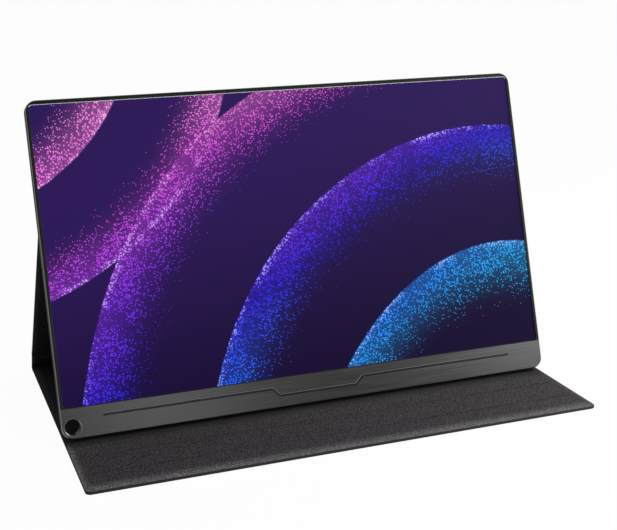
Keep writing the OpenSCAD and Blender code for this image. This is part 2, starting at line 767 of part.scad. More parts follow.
module back_magnets() {
    color("#9b9ea2") for (x = back_magnet_places, y = back_magnet_rows)
        block(x, inner_back - magnet_t - fit_gap, fold_up + y - magnet_h / 2, magnet_w, magnet_t, magnet_h);
}

module base_skin() {
    from_fold(rear_fold, 0) panel_skin(-base_len, -rear_fold_gap, cover_r, fold_corner_r);
}

module base_board() {
    from_fold(rear_fold, 0) difference() {
        panel_board(-base_len, -rear_fold_gap, cover_r, fold_corner_r);
        magnet_bars(magnet_places, magnet_rows, pocket_gap);
    }
}

// Lining with the creases that catch the monitor's bottom edge.
module base_lining() {
    from_fold(rear_fold, 0) difference() {
        panel_lining(-base_len, -rear_fold_gap, cover_r, fold_corner_r);
        for (y = magnet_rows) translate([-cover_w / 2 + crease_end, y, cover_t]) rotate([90, 0, 90])
            linear_extrude(cover_w - 2 * crease_end) polygon([[-crease_w / 2, eps], [0, -crease_d], [crease_w / 2, eps]]);
    }
}

module base_magnets() {
    from_fold(rear_fold, 0) color("#9b9ea2") magnet_bars(magnet_places, magnet_rows);
}

module spine_part(part) {
    from_fold(rear_fold, spine_angle) {
        a = rear_fold_gap;
        b = spine_len - spine_fold_gap;
        if (part == "skin") panel_skin(a, b, fold_corner_r, fold_corner_r);
        if (part == "board") panel_board(a, b, fold_corner_r, fold_corner_r);
        if (part == "lining") panel_lining(a, b, fold_corner_r, fold_corner_r);
    }
}

module stand_part(part) {
    from_fold(spine_fold, stand_angle) {
        a = spine_fold_gap;
        b = stand_len - back_fold_gap;
        if (part == "skin") panel_skin(a, b, fold_corner_r, fold_corner_r);
        if (part == "board") panel_board(a, b, fold_corner_r, fold_corner_r);
        if (part == "lining") panel_lining(a, b, fold_corner_r, fold_corner_r);
    }
}

module back_part(part) {
    from_fold(back_fold, 90 - lean) {
        a = back_fold_gap;
        b = back_len;
        if (part == "skin") panel_skin(a, b, fold_corner_r, cover_r);
        if (part == "board") difference() {
            panel_board(a, b, fold_corner_r, cover_r);
            magnet_bars(back_magnet_places, back_magnet_rows, pocket_gap);
        }
        if (part == "lining") panel_lining(a, b, fold_corner_r, cover_r);
        if (part == "magnets") color("#9b9ea2") magnet_bars(back_magnet_places, back_magnet_rows);
    }
}

in_monitor() front_frame();
in_monitor() display_surround();
in_monitor() rear_housing();
in_monitor() pen_hole_bush();
in_monitor() lcd_cell();
in_monitor() optical_films();
in_monitor() light_guide();
in_monitor() reflector_sheet();
in_monitor() panel_frame();
in_monitor() panel_back_plate();
in_monitor() led_bar();
in_monitor() tcon_board();
in_monitor() main_board();
in_monitor() board_chips();
in_monitor() shield_can();
in_monitor() hdmi_socket();
in_monitor() usb_c_socket(usb_z[0]);  // usb_c_socket_1
in_monitor() usb_c_socket(usb_z[1]);  // usb_c_socket_2
in_monitor() headphone_socket();
in_monitor() display_cable();
in_monitor() speaker(-1);  // speaker_left
in_monitor() speaker(1);  // speaker_right
in_monitor() speaker_leads();
in_monitor() key_board();
in_monitor() push_button(power_z);  // power_button
in_monitor() push_button(back_z);  // back_button
in_monitor() jog_wheel();
in_monitor() jog_pin();
in_monitor() case_screws();
in_monitor() board_screws();
in_monitor() edge_magnets();
in_monitor() back_magnets();
base_skin();
base_board();
base_lining();
base_magnets();
spine_part("skin");  // spine_skin
spine_part("board");  // spine_board
spine_part("lining");  // spine_lining
stand_part("skin");  // stand_skin
stand_part("board");  // stand_board
stand_part("lining");  // stand_lining
back_part("skin");  // back_panel_skin
back_part("board");  // back_panel_board
back_part("lining");  // back_panel_lining
back_part("magnets");  // back_panel_magnets
fold_leaves(rear_fold, 0, spine_angle, rear_fold_gap, rear_fold_gap);  // rear_fold_leather
fold_leaves(spine_fold, spine_angle, stand_angle, spine_fold_gap, spine_fold_gap);  // spine_fold_leather
fold_leaves(back_fold, stand_angle, 90 - lean, back_fold_gap, back_fold_gap);  // back_fold_leather
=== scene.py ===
# Portable monitor held by magnets to a folding leatherette cover, which stands it up as an easel.
import json
import math

import bmesh
import bpy
from mathutils import Matrix, Vector


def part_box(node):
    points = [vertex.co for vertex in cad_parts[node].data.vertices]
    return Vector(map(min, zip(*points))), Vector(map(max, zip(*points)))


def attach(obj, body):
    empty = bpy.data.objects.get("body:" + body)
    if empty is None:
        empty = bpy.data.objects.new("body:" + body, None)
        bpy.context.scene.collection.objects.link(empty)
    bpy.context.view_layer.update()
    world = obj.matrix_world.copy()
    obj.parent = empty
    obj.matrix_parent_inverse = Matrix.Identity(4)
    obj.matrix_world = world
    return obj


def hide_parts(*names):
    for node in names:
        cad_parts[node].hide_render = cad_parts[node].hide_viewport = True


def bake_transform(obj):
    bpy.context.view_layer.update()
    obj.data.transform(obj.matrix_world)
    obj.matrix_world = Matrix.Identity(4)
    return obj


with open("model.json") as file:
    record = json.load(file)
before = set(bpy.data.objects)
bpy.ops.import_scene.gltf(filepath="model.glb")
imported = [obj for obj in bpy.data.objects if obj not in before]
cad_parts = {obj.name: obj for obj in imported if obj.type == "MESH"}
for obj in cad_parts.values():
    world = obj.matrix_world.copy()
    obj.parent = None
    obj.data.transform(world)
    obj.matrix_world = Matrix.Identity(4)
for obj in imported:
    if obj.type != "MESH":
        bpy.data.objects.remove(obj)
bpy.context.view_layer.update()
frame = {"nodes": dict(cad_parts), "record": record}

# The camera stands left of the monitor and above it, as a catalogue photographer places it.
# Its place, angles and focal length were fitted to the corners of the monitor and the cover.
CAMERA_AT = (-0.2693, -0.7422, 0.3156)
CAMERA_YAW = 20.466
CAMERA_PITCH = 15.862
CAMERA_ROLL = -0.663
FOCAL_PX = 1181.06
IMAGE_WIDTH_PX = 617

camera = bpy.data.objects.new("camera", bpy.data.cameras.new("camera"))
bpy.context.collection.objects.link(camera)
camera.data.lens = FOCAL_PX * camera.data.sensor_width / IMAGE_WIDTH_PX
camera.data.clip_start = 0.01
camera.matrix_world = (
    Matrix.Translation(CAMERA_AT)
    @ Matrix.Rotation(math.radians(-CAMERA_YAW), 4, "Z")
    @ Matrix.Rotation(math.radians(90 - CAMERA_PITCH), 4, "X")
    @ Matrix.Rotation(math.radians(CAMERA_ROLL), 4, "Z")
)
bpy.context.scene.camera = camera
bpy.context.scene.view_settings.view_transform = "Standard"


# The studio is a white sweep with soft light: a pale floor, a dim room and three soft boxes. One hangs
# at the upper right. Two stand in front, and the brushed chin mirrors them at its right and its left.
FLOOR_SIZE = 80.0
FLOOR_WHITE = "#f4f4f4"
FLOOR_SEEN = 0.97
FLOOR_LEVEL = -0.0002
ROOM_LIGHT = 0.33


def linear(code):
    """An sRGB hex colour as linear red, green, blue and alpha."""
    parts = [int(code[i:i + 2], 16) / 255 for i in (1, 3, 5)]
    return tuple(c / 12.92 if c <= 0.04045 else ((c + 0.055) / 1.055) ** 2.4 for c in parts) + (1.0,)


def add_node(tree, kind, settings=None, sockets=None):
    """Adds a node. settings are its own attributes; sockets are input names or numbers, each with a
    value, or with another node's output to link."""
    node = tree.nodes.new(kind)
    for name, value in (settings or {}).items():
        setattr(node, name, value)
    for name, value in (sockets or {}).items():
        if isinstance(value, bpy.types.NodeSocket):
            tree.links.new(value, node.inputs[name])
        else:
            node.inputs[name].default_value = value
    return node


floor_paint = bpy.data.materials.new("white_sweep")
floor_paint.use_nodes = True
tree = floor_paint.node_tree
tree.nodes.clear()
paint = add_node(tree, "ShaderNodeBsdfDiffuse", None, {"Color": linear(FLOOR_WHITE)})
seen = add_node(tree, "ShaderNodeEmission", None, {"Color": (1, 1, 1, 1), "Strength": 1.0})
rays = add_node(tree, "ShaderNodeLightPath")
share = add_node(tree, "ShaderNodeMath", {"operation": "MULTIPLY"},
                 {0: rays.outputs["Is Camera Ray"], 1: FLOOR_SEEN})
mixed = add_node(tree, "ShaderNodeMixShader", None,
                 {0: share.outputs[0], 1: paint.outputs[0], 2: seen.outputs[0]})
add_node(tree, "ShaderNodeOutputMaterial", None, {"Surface": mixed.outputs[0]})

bpy.ops.object.select_all(action="DESELECT")
bpy.ops.mesh.primitive_plane_add(size=FLOOR_SIZE, location=(0, 0, FLOOR_LEVEL))
floor = bpy.context.object
floor.name = "floor"
floor.data.materials.append(floor_paint)

room = bpy.data.worlds.new("pale_room")
bpy.context.scene.world = room
room.use_nodes = True
tree = room.node_tree
tree.nodes.clear()
rays = add_node(tree, "ShaderNodeLightPath")
seen_rays = add_node(tree, "ShaderNodeMath", {"operation": "MAXIMUM"},
                     {0: rays.outputs["Is Camera Ray"], 1: rays.outputs["Is Transmission Ray"]})
lit = add_node(tree, "ShaderNodeBackground", None, {"Color": (1, 1, 1, 1), "Strength": ROOM_LIGHT})
shown = add_node(tree, "ShaderNodeBackground", None, {"Color": (1, 1, 1, 1), "Strength": 1.0})
mixed = add_node(tree, "ShaderNodeMixShader", None,
                 {0: seen_rays.outputs[0], 1: lit.outputs[0], 2: shown.outputs[0]})
add_node(tree, "ShaderNodeOutputWorld", None, {"Surface": mixed.outputs[0]})


def add_lamp(name, place, target, size, watts):
    """A square soft box at a place, turned to face a target."""
    lamp = bpy.data.objects.new(name, bpy.data.lights.new(name, "AREA"))
    bpy.context.collection.objects.link(lamp)
    lamp.data.size = size
    lamp.data.energy = watts
    lamp.location = place
    lamp.rotation_euler = (Vector(target) - Vector(place)).to_track_quat("-Z", "Y").to_euler()


add_lamp("top_lamp", (0.75, -0.12, 0.55), (0.05, -0.05, 0), 0.5, 6.5)
add_lamp("right_lamp", (0.8, -0.95, 0.38), (0.1, -0.05, 0.02), 0.25, 4)
add_lamp("front_lamp", (0.12, -1.15, 0.28), (-0.1, -0.05, 0.02), 0.2, 1.0)


# The cover's four stiff panels are folded from one leatherette sheet glued over greyboard.
# Each panel is a flat plate with its leather turned round the edges, so all edges are soft.
MM = 0.001
joints = {joint["name"]: joint for joint in frame["record"]["behaviour"]["joints"]}
rear_fold = Vector(joints["rear_fold"]["pos_m"])
spine_fold = Vector(joints["spine_fold"]["pos_m"])
back_fold = Vector(joints["back_fold"]["pos_m"])
monitor_up = Vector(joints["monitor_lift"]["axis"]).normalized()
cover_low, cover_high = (Vector(corner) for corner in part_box("base_skin"))
COVER_WIDTH = cover_high.x - cover_low.x
FOLD_AXIS_HEIGHT = rear_fold.z
PLATE_THICKNESS = cover_high.z
LINING_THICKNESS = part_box("base_lining")[1][2] - PLATE_THICKNESS
REAR_GAP = rear_fold.y - cover_high.y
SPINE_GAP = 2.0 * MM
BACK_GAP = 2.5 * MM
BASE_LENGTH = rear_fold.y - cover_low.y
SPINE_LENGTH = (spine_fold - rear_fold).length
STAND_LENGTH = (back_fold - spine_fold).length
BACK_LENGTH = 80.0 * MM
OUTER_CORNER = 3.5 * MM
FOLD_CORNER = 1.2 * MM
CORNER_STEPS = 8
OUTER_ROUND = 0.7 * MM
INNER_ROUND = 0.35 * MM


def panel_frame(fold, direction):
    """The matrix that carries a panel drawn flat, fold along X and outer face down, to its place."""
    along = direction.normalized()
    normal = Vector((1, 0, 0)).cross(along)
    origin = fold - normal * FOLD_AXIS_HEIGHT
    return Matrix((
        (1, along.x, normal.x, origin.x),
        (0, along.y, normal.y, origin.y),
        (0, along.z, normal.z, origin.z),
        (0, 0, 0, 1),
    ))


# Each panel has its matrix, its two ends along the cover, the stem of its CAD names, and its body.
PANELS = {
    "base": (panel_frame(rear_fold, Vector((0, 1, 0))),
             -BASE_LENGTH, -REAR_GAP, "base", "base"),
    "spine": (panel_frame(rear_fold, spine_fold - rear_fold),
              REAR_GAP, SPINE_LENGTH - SPINE_GAP, "spine", "spine"),
    "stand": (panel_frame(spine_fold, back_fold - spine_fold),
              SPINE_GAP, STAND_LENGTH - BACK_GAP, "stand", "stand_panel"),
    "back": (panel_frame(back_fold, monitor_up),
             BACK_GAP, BACK_LENGTH, "back_panel", "back_panel"),
}


def start_mesh():
    """Leaves nothing selected, so that an operator acts only on the next primitive."""
    if bpy.context.mode != "OBJECT":
        bpy.ops.object.mode_set(mode="OBJECT")
    bpy.ops.object.select_all(action="DESELECT")


def select_edges(piece, wanted):
    """In edit mode, selects the edges whose two ends satisfy a test on their places."""
    mesh = bmesh.from_edit_mesh(piece.data)
    bpy.ops.mesh.select_all(action="DESELECT")
    bpy.context.tool_settings.mesh_select_mode = (False, True, False)
    for edge in mesh.edges:
        a, b = (v.co for v in edge.verts)
        edge.select = wanted(a, b)
    mesh.select_flush_mode()
    bmesh.update_edit_mesh(piece.data)


def add_plate(name, width, front, back, bottom, top, front_corner, back_corner):
    """A flat plate with its four upright corners rounded, left in edit mode."""
    start_mesh()
    bpy.ops.mesh.primitive_cube_add(size=1)
    plate = bpy.context.object
    plate.name = name
    plate.data.transform(
        Matrix.Translation((0, (front + back) / 2, (bottom + top) / 2))
        @ Matrix.Diagonal((width, back - front, top - bottom, 1))
    )
    bpy.ops.object.mode_set(mode="EDIT")
    middle = (front + back) / 2
    for radius, side in ((front_corner, -1), (back_corner, 1)):
        select_edges(plate, lambda a, b: abs(a.z - b.z) > (top - bottom) / 2 and (a.y - middle) * side > 0)
        bpy.ops.mesh.bevel(offset=radius, segments=CORNER_STEPS, affect="EDGES")
    return plate


def settle(piece, matrix, body, smooth=30):
    """Leaves edit mode, carries the mesh to its place and lets it ride on a body."""
    bpy.ops.object.mode_set(mode="OBJECT")
    bpy.ops.object.select_all(action="DESELECT")
    piece.select_set(True)
    bpy.context.view_layer.objects.active = piece
    piece.data.transform(matrix)
    bpy.ops.object.shade_smooth_by_angle(angle=math.radians(smooth))
    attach(piece, body)


# PU leatherette: embossed polyester-backed film, matt and nearly black, with a fine pebble grain.
# The real grain is about 0.5 mm; it is drawn at 1.1 mm so that it shows in the render.
LEATHER_DARK = "#1d1d1e"
LEATHER_LIGHT = "#272728"
LEATHER_GRAIN = 1.1 * MM

leatherette = bpy.data.materials.new("pu_leatherette")
leatherette.use_nodes = True
tree = leatherette.node_tree
shader = tree.nodes["Principled BSDF"]
place = add_node(tree, "ShaderNodeTexCoord")
pebbles = add_node(tree, "ShaderNodeTexVoronoi", {"feature": "F1"},
                   {"Vector": place.outputs["Object"], "Scale": 1 / LEATHER_GRAIN, "Randomness": 0.9})
mottle = add_node(tree, "ShaderNodeTexNoise", None,
                  {"Vector": place.outputs["Object"], "Scale": 28.0, "Detail": 4.0, "Roughness": 0.6})
shade = add_node(tree, "ShaderNodeMix", {"data_type": "RGBA"},
                 {"Factor": mottle.outputs["Fac"], 6: linear(LEATHER_DARK), 7: linear(LEATHER_LIGHT)})
grain = add_node(tree, "ShaderNodeBump", None,
                 {"Strength": 0.35, "Distance": 0.12 * MM, "Height": pebbles.outputs["Distance"]})
tree.links.new(shade.outputs[2], shader.inputs["Base Color"])
tree.links.new(grain.outputs["Normal"], shader.inputs["Normal"])
shader.inputs["Roughness"].default_value = 0.62
shader.inputs["Specular IOR Level"].default_value = 0.3

for key, (matrix, front, back, node, body) in PANELS.items():
    plate = add_plate(f"{key}_leather", COVER_WIDTH, front, back, 0, PLATE_THICKNESS,
                      OUTER_CORNER if key == "base" else FOLD_CORNER,
                      OUTER_CORNER if key == "back" else FOLD_CORNER)
    select_edges(plate, lambda a, b: abs(a.z - b.z) < 1e-6 and a.z < PLATE_THICKNESS / 2)
    bpy.ops.mesh.bevel(offset=OUTER_ROUND, segments=4, affect="EDGES")
    select_edges(plate, lambda a, b: min(a.z, b.z) > PLATE_THICKNESS - 1e-6)
    bpy.ops.mesh.bevel(offset=INNER_ROUND, segments=2, affect="EDGES")
    settle(plate, matrix, body)
    plate.data.materials.append(leatherette)
    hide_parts(f"{node}_skin")


# The lining is a napped microfibre, glued inside each panel; its 0.5 mm grain is drawn at 0.75 mm.
# It is pressed thin along its edges into a bevel, broad at the front of the base; a painted sheen
# makes that bevel paler, only faintly on the right edge, which faces away from the light. Painted
# shade darkens the creases and all of the lining from the monitor's front edge back.
LINING_DARK = "#242122"
LINING_LIGHT = "#625e5f"
LINING_EDGE_SHEEN = "#858283"
LINING_SHADE = "#131213"
WEAVE_PITCH = 0.75 * MM
SHADE_FROM = 12.0 * MM
SHADE_SHARE = 0.75
RIGHT_SHEEN_SHARE = 0.15
BEVEL_STEPS = 6
BEVEL_DROP = LINING_THICKNESS - 0.08 * MM
LINING_SUNK = 0.3 * MM
CUT_SLACK = 0.001 * MM
LINING_INSET = 0.35 * MM
SIDE_BEVEL = 5.0 * MM
STAND_BEVEL = 3.2 * MM
FRONT_BEVEL = 10.0 * MM
CREASE_FIRST = 22.7 * MM
CREASE_PITCH = 25.2 * MM
CREASE_HALF = 1.1 * MM
CREASE_DEPTH = 0.4 * MM
CREASE_SHADE = 0.6
CREASE_SHARP = 12
MONITOR_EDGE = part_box("front_frame")[0][1]

microfibre = bpy.data.materials.new("microfibre_lining")
microfibre.use_nodes = True
tree = microfibre.node_tree
shader = tree.nodes["Principled BSDF"]
place = add_node(tree, "ShaderNodeTexCoord")
press_and_sheen = add_node(tree, "ShaderNodeAttribute", {"attribute_name": "press_and_sheen"})
threads = add_node(tree, "ShaderNodeTexVoronoi", {"feature": "SMOOTH_F1"},
                   {"Vector": place.outputs["Object"], "Scale": 1 / WEAVE_PITCH,
                    "Smoothness": 0.4, "Randomness": 1.0})
nap = add_node(tree, "ShaderNodeTexNoise", None,
               {"Vector": place.outputs["Object"], "Scale": 0.8 / WEAVE_PITCH,
                "Detail": 2.0, "Roughness": 0.7})
weave = add_node(tree, "ShaderNodeMath", {"operation": "MULTIPLY_ADD"},
                 {0: threads.outputs["Distance"], 1: -0.8, 2: nap.outputs["Fac"]})
contrast = add_node(tree, "ShaderNodeMapRange", None,
                    {"Value": weave.outputs[0], "From Min": 0.05, "From Max": 0.4})
cloth = add_node(tree, "ShaderNodeMix", {"data_type": "RGBA"},
                 {"Factor": contrast.outputs["Result"], 6: linear(LINING_DARK), 7: linear(LINING_LIGHT)})
# Painted sheen: the pressed bevel is mixed towards a paler colour, standing in for light caught on its
# slope.
sheen_share = add_node(tree, "ShaderNodeMath", {"operation": "MULTIPLY"},
                      {0: press_and_sheen.outputs["Fac"], 1: contrast.outputs["Result"]})
sheen_share = add_node(tree, "ShaderNodeMath", {"operation": "MULTIPLY_ADD"},
                      {0: press_and_sheen.outputs["Fac"], 1: 0.3, 2: sheen_share.outputs[0]})
colour = add_node(tree, "ShaderNodeMix", {"data_type": "RGBA"},
                  {"Factor": sheen_share.outputs[0], 6: cloth.outputs[2], 7: linear(LINING_EDGE_SHEEN)})
depth = add_node(tree, "ShaderNodeSeparateXYZ", None, {0: place.outputs["Object"]})
# Painted shade: the lining darkens from the monitor's front edge back, and in the creases.
shade_behind_monitor = add_node(tree, "ShaderNodeMapRange", {"interpolation_type": "SMOOTHSTEP"},
                    {"Value": depth.outputs["Y"], "From Min": MONITOR_EDGE - SHADE_FROM,
                     "From Max": MONITOR_EDGE, "To Max": SHADE_SHARE})
creased = add_node(tree, "ShaderNodeAttribute", {"attribute_name": "creased"})
painted_shade = add_node(tree, "ShaderNodeMath", {"operation": "MAXIMUM"},
                {0: shade_behind_monitor.outputs["Result"], 1: creased.outputs["Fac"]})
colour = add_node(tree, "ShaderNodeMix", {"data_type": "RGBA"},
                  {"Factor": painted_shade.outputs[0], 6: colour.outputs[2], 7: linear(LINING_SHADE)})
nap_bump = add_node(tree, "ShaderNodeBump", None,
                    {"Strength": 0.5, "Distance": 0.15 * MM, "Height": contrast.outputs["Result"]})
tree.links.new(colour.outputs[2], shader.inputs["Base Color"])
tree.links.new(nap_bump.outputs["Normal"], shader.inputs["Normal"])
shader.inputs["Roughness"].default_value = 0.8
shader.inputs["Specular IOR Level"].default_value = 0.2


def press_lining(lining, front, back, bevel, front_bevel, corners, creases):
    """Cuts the top face along lines near its edges and at the creases, then presses those lines down
    by their distance from the rounded outline. Notes how far each point is pressed, which also sets
    its painted sheen (kept faint on the right edge), and how much painted shade each crease gets."""
    half = COVER_WIDTH / 2 - LINING_INSET
    level = PLATE_THICKNESS + LINING_THICKNESS
    steps = [i / BEVEL_STEPS for i in range(1, BEVEL_STEPS + 1)]
    cuts = [((side * (half - s * bevel), 0, 0), (1, 0, 0)) for side in (-1, 1) for s in steps]
    cuts += [((0, front + s * front_bevel, 0), (0, 1, 0)) for s in steps]
    cuts += [((0, back - s * bevel, 0), (0, 1, 0)) for s in steps]
    cuts += [((0, y + offset, 0), (0, 1, 0)) for y in creases for offset in (-CREASE_HALF, 0, CREASE_HALF)]
    for place, normal in cuts:
        mesh = bmesh.from_edit_mesh(lining.data)
        bpy.context.tool_settings.mesh_select_mode = (False, False, True)
        bpy.ops.mesh.select_all(action="DESELECT")
        for face in mesh.faces:
            face.select = face.normal.z > 0.99
        bmesh.update_edit_mesh(lining.data)
        bpy.ops.mesh.bisect(plane_co=place, plane_no=normal)
    bpy.ops.object.mode_set(mode="OBJECT")
    press_and_sheen = lining.data.attributes.new("press_and_sheen", "FLOAT", "POINT")
    creased = lining.data.attributes.new("creased", "FLOAT", "POINT")
    for vert, value, crease in zip(lining.data.vertices, press_and_sheen.data, creased.data):
        if vert.co.z < level - CUT_SLACK:
            value.value = 1
            continue
        radius = corners[0] if vert.co.y < (front + back) / 2 else corners[1]
        to_side = (half - abs(vert.co.x)) / bevel
        to_front = (vert.co.y - front) / front_bevel
        to_back = (back - vert.co.y) / bevel
        nearest = min(to_front, to_back)
        round_off = radius / bevel
        if to_side < round_off and nearest < round_off:
            share = round_off - math.hypot(round_off - to_side, round_off - nearest)
        else:
            share = min(to_side, nearest)
        share = min(max(share, 0), 1)
        value.value = 1 - share * share * (3 - 2 * share)
        vert.co.z = level - BEVEL_DROP * value.value
        # A crease is sunk, and its points are given painted shade.
        if any(abs(vert.co.y - y) < CUT_SLACK for y in creases):
            vert.co.z -= CREASE_DEPTH * (1 - value.value)
            crease.value = CREASE_SHADE * (1 - value.value)
        # On the right edge the painted sheen is kept faint, as that edge faces away from the light.
        if vert.co.x > 0 and to_side < nearest:
            value.value *= RIGHT_SHEEN_SHARE
    bpy.ops.object.mode_set(mode="EDIT")


for key, (matrix, front, back, node, body) in PANELS.items():
    front, back = front + LINING_INSET, back - LINING_INSET
    bevel = SIDE_BEVEL if key == "base" else min(STAND_BEVEL, (back - front) / 3)
    corners = ((OUTER_CORNER if key == "base" else FOLD_CORNER) - LINING_INSET / 2,
               (OUTER_CORNER if key == "back" else FOLD_CORNER) - LINING_INSET / 2)
    lining = add_plate(f"{key}_lining", COVER_WIDTH - 2 * LINING_INSET, front, back,
                       PLATE_THICKNESS - LINING_SUNK, PLATE_THICKNESS + LINING_THICKNESS, *corners)
    creases = []
    if key == "base":
        creases = [front - LINING_INSET + CREASE_FIRST + i * CREASE_PITCH for i in range(2)]
    press_lining(lining, front, back, bevel, FRONT_BEVEL if key == "base" else bevel, corners, creases)
    settle(lining, matrix, body, CREASE_SHARP)
    lining.data.materials.append(microfibre)
    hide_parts(f"{node}_lining")


# Between the panels the leatherette has no board in it and bends. The skin rounds the outside of
# each fold and the lining dips into the valley between the two board ends.
FOLD_RADIUS = 1.4 * MM
FOLD_INSET = 0.1 * MM
FOLD_STEPS = 10
VALLEY_STEPS = 4


def along(angle):
    """The unit vector at an angle in the plane of a fold's section."""
    return Vector((math.cos(angle), math.sin(angle)))


def normal_to(angle):
    """The unit vector a quarter turn past an angle in the plane of a fold's section."""
    return Vector((-math.sin(angle), math.cos(angle)))


def fold_profile(a, b, end_a, end_b):
    """Outline of a fold's cross-section round its hinge line: the skin side, then the lining side."""
    turn = b - a
    side = math.copysign(1, turn)
    centre = (normal_to(a) + normal_to(b)).normalized() * side * FOLD_RADIUS / math.cos(turn / 2)
    arc = [a + turn * i / FOLD_STEPS for i in range(FOLD_STEPS + 1)]
    middle = [centre - side * FOLD_RADIUS * normal_to(angle) for angle in arc]
    tangent = FOLD_RADIUS * math.tan(abs(turn) / 2)
    low = FOLD_AXIS_HEIGHT
    rise = PLATE_THICKNESS - 2 * FOLD_AXIS_HEIGHT - FOLD_INSET
    skin = [-end_a * along(a) - low * normal_to(a)]
    skin += [p - low * normal_to(angle) for p, angle in zip(middle, arc)]
    skin += [end_b * along(b) - low * normal_to(b)]
    slope = []
    for angle, end, way in ((b, end_b, 1), (a, end_a, -1)):
        points = []
        for i in range(VALLEY_STEPS + 1):
            u = i / VALLEY_STEPS
            reach = end + (tangent - end) * u
            lift = rise * (1 - u * u * (3 - 2 * u))
            points.append(way * reach * along(angle) + (low + lift) * normal_to(angle))
        slope.append(points)
    inside = [p + low * normal_to(angle) for p, angle in zip(middle, arc)][::-1]
    return skin + slope[0] + inside[1:-1] + slope[1][::-1]


def add_fold(name, hinge, a, b, end_a, end_b, node):
    """The soft strip of one fold, drawn across its section and extruded along the cover's width."""
    profile = fold_profile(a, b, end_a, end_b)
    start_mesh()
    bpy.ops.mesh.primitive_circle_add(vertices=len(profile), radius=1, fill_type="NGON")
    strip = bpy.context.object
    strip.name = name
    width = COVER_WIDTH - FOLD_INSET
    for vert, point in zip(strip.data.vertices, profile):
        vert.co = (-width / 2, hinge.y + point.x, hinge.z + point.y)
    bpy.ops.object.mode_set(mode="EDIT")
    bpy.ops.mesh.select_all(action="SELECT")
    bpy.ops.mesh.extrude_region_move(TRANSFORM_OT_translate={"value": (width, 0, 0)})
    bpy.ops.mesh.select_all(action="SELECT")
    bpy.ops.mesh.normals_make_consistent(inside=False)
    bpy.ops.object.mode_set(mode="OBJECT")
    bpy.ops.object.shade_smooth_by_angle(angle=math.radians(40))
    strip.data.materials.append(leatherette)
    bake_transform(strip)
    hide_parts(node)


def turn_of(direction):
    """The angle of a direction in the plane across the cover, from straight back towards up."""
    return math.atan2(direction.z, direction.y)


spine_turn = turn_of(spine_fold - rear_fold)
stand_turn = turn_of(back_fold - spine_fold)
back_turn = turn_of(monitor_up)
add_fold("rear_fold_strip", rear_fold, 0, spine_turn, REAR_GAP, REAR_GAP,
         "rear_fold_leather")
add_fold("spine_fold_strip", spine_fold, spine_turn, stand_turn, SPINE_GAP, SPINE_GAP,
         "spine_fold_leather")
add_fold("back_fold_strip", back_fold, stand_turn, back_turn, BACK_GAP, BACK_GAP,
         "back_fold_leather")


# The metal front frame is a pressed aluminium sheet with a brushed, dark grey anodised chin. Above the
# chin its narrow rim is darker. A chamfer is cut round its edge after anodising, and the walls stay
# dark. The engraved line gets painted shade in its depth and a painted highlight on the rim of its
# upper flank.
PEN_HOLE_DEPTH = 4.85 * MM
PEN_HOLE_HEIGHT = 7.3 * MM
BRUSHED_DARK = "#2f2f30"
BRUSHED_LIGHT = "#434344"
RIM_DARK = "#212122"
CHAMFER_BRIGHT = "#a6a6a8"
WALL_DARK = "#0f0f10"
LINE_SHADE = "#0c0c0d"
LINE_HIGHLIGHT = "#8c8c8c"
ENGRAVED_DULL = 0.5
FRONT_FACING = 0.93
CUT_FACING = 0.3
CHIN_HEIGHT = 20.1 * MM
LINE_REACH = 150.0 * MM
LINE_LOW = 4.0 * MM
LINE_DEEP = 0.22 * MM
BRUSH_LINE = 0.9 * MM
BRUSH_LENGTH = 60.0 * MM

mounts = {mount["name"]: mount for mount in frame["record"]["mounts"]}
monitor_depth = Vector((1, 0, 0)).cross(monitor_up) * -1
lean = math.atan2(monitor_up.y, monitor_up.z)
pen_hole = Vector(mounts["pen_hole"]["pos_m"])
monitor_corner = (Vector((0, pen_hole.y, pen_hole.z))
                  - monitor_depth * PEN_HOLE_DEPTH - monitor_up * PEN_HOLE_HEIGHT)


def monitor_place(tree):
    """Coordinates that stand square to the monitor: across, back into it, and up from its bottom edge."""
    place = add_node(tree, "ShaderNodeTexCoord")
    turned = Matrix.Rotation(lean, 3, "X") @ monitor_corner
    mapping = add_node(tree, "ShaderNodeMapping", None,
                       {"Vector": place.outputs["Object"], "Rotation": (lean, 0, 0), "Location": -turned})
    return mapping.outputs["Vector"]


def paint_nodes(material, *names):
    """Gives CAD pieces a finish in place of the plain one they came with."""
    for name in names:
        piece = frame["nodes"][name]
        if not piece.material_slots:
            piece.data.materials.append(material)
        for held in piece.material_slots:
            held.material = material


brushed = bpy.data.materials.new("brushed_anodised_aluminium")
brushed.use_nodes = True
tree = brushed.node_tree
shader = tree.nodes["Principled BSDF"]
here = monitor_place(tree)
stretched = add_node(tree, "ShaderNodeMapping", None,
                     {"Vector": here, "Scale": (1 / BRUSH_LENGTH, 1 / BRUSH_LINE, 1 / BRUSH_LINE)})
strokes = add_node(tree, "ShaderNodeTexNoise", None,
                   {"Vector": stretched.outputs["Vector"], "Scale": 1.0, "Detail": 5.0, "Roughness": 0.7})
spread = add_node(tree, "ShaderNodeMapRange", None,
                  {"Value": strokes.outputs["Fac"], "From Min": 0.28, "From Max": 0.72})
face_colour = add_node(tree, "ShaderNodeMix", {"data_type": "RGBA"},
                       {"Factor": spread.outputs["Result"],
                        6: linear(BRUSHED_DARK), 7: linear(BRUSHED_LIGHT)})
surface = add_node(tree, "ShaderNodeTexCoord")
facing = add_node(tree, "ShaderNodeVectorMath", {"operation": "DOT_PRODUCT"},
                  {0: surface.outputs["Normal"], 1: -monitor_depth})
is_front = add_node(tree, "ShaderNodeMath", {"operation": "GREATER_THAN"},
                    {0: facing.outputs["Value"], 1: FRONT_FACING})
is_cut = add_node(tree, "ShaderNodeMath", {"operation": "GREATER_THAN"},
                  {0: facing.outputs["Value"], 1: CUT_FACING})
parts = add_node(tree, "ShaderNodeSeparateXYZ", None, {0: here})
